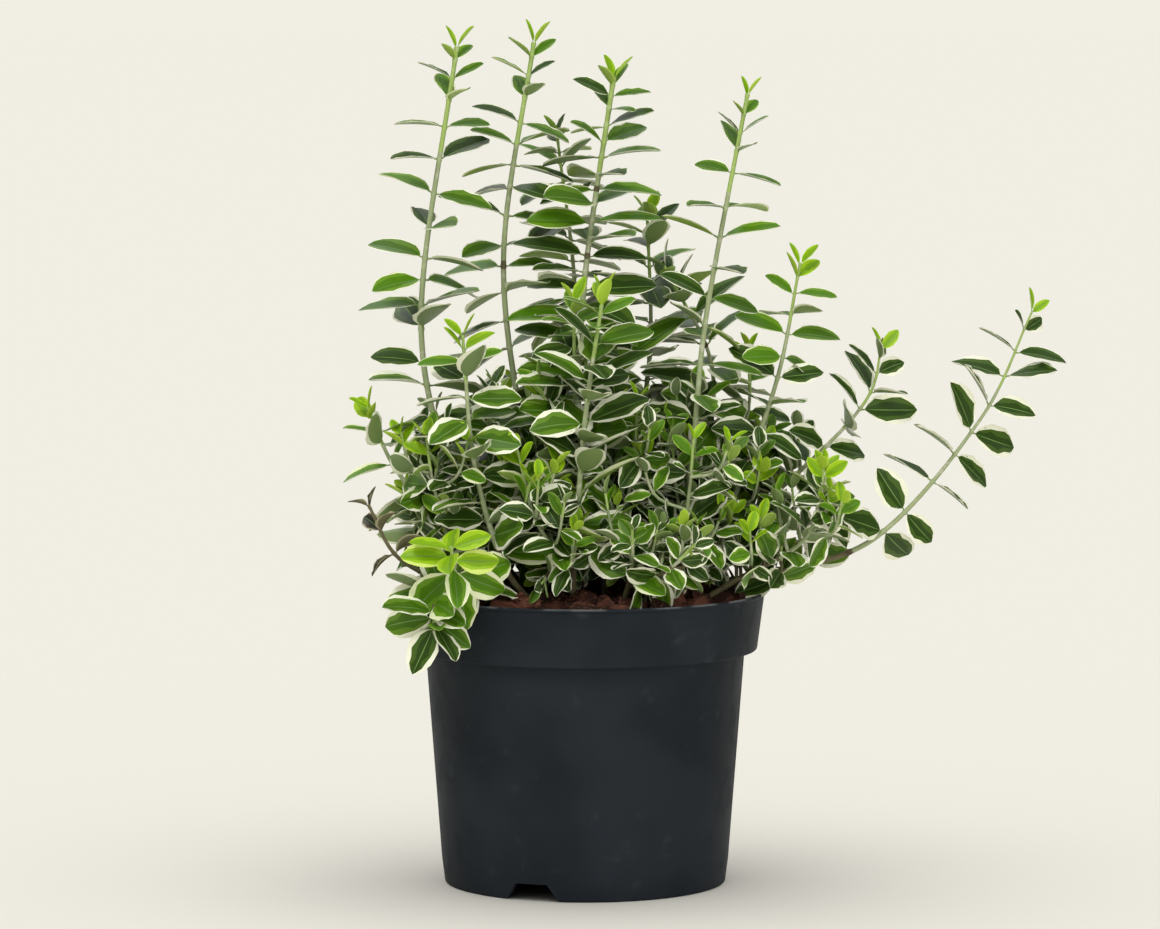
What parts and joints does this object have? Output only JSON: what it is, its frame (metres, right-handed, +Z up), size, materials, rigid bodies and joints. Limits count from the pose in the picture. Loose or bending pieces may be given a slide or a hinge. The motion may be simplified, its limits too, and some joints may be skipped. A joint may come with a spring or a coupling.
{
  "type": "potted emerald gaiety wintercreeper",
  "caption": "Young evergreen shrub in a plain round nursery pot: upright and spreading stems with pairs of small white-edged leaves, and bark-topped soil.",
  "frame": {"origin": "centre of the pot's underside, on the pot's axis, where it stands on the ground", "axes": "+Z up along the pot's axis, +X to the right of the side seen first, where the longest stem leans out, and that side faces -Y"},
  "size_m": [0.3725, 0.2232, 0.4496],
  "materials": {
    "pot_plastic": "satin",
    "bark_mulch": "rough",
    "stem_bark": "matte",
    "foliage": "satin"
  },
  "bodies": {
    "root": {"back_middle": "foliage", "centre_left_low": "foliage", "centre_right_low": "foliage", "far_right": "foliage", "front_inner": "foliage", "front_low": "foliage", "front_low_right": "foliage", "front_right_small": "foliage", "front_upright": "foliage", "left_back_low": "foliage", "left_front": "foliage", "left_inner": "foliage", "left_lime": "foliage", "left_low": "foliage", "left_wisp": "foliage", "middle_back": "foliage", "pot": "pot_plastic", "rear_1": "foliage", "rear_2": "foliage", "rear_3": "foliage", "rear_4": "foliage", "rear_5": "foliage", "right_arch": "foliage", "right_inner": "foliage", "right_lean": "foliage", "right_low": "foliage", "right_middle": "foliage", "rim_cascade": "foliage", "rim_lime": "foliage", "soil": "bark_mulch", "stem_back_middle": "stem_bark", "stem_centre": "stem_bark", "stem_far_right": "stem_bark", "stem_front": "stem_bark", "stem_front_left": "stem_bark", "stem_front_low": "stem_bark", "stem_left": "stem_bark", "stem_left_back": "stem_bark", "stem_left_low": "stem_bark", "stem_middle": "stem_bark", "stem_rear_1": "stem_bark", "stem_rear_2": "stem_bark", "stem_rear_3": "stem_bark", "stem_rear_4": "stem_bark", "stem_rear_5": "stem_bark", "stem_right": "stem_bark", "stem_right_back": "stem_bark", "stem_right_low": "stem_bark", "stem_right_middle": "stem_bark", "stem_rim_front": "stem_bark", "stem_rim_left": "stem_bark", "tall_left": "foliage", "tall_left_back": "foliage", "tall_middle": "foliage", "tall_right": "foliage"}
  },
  "joints": []
}
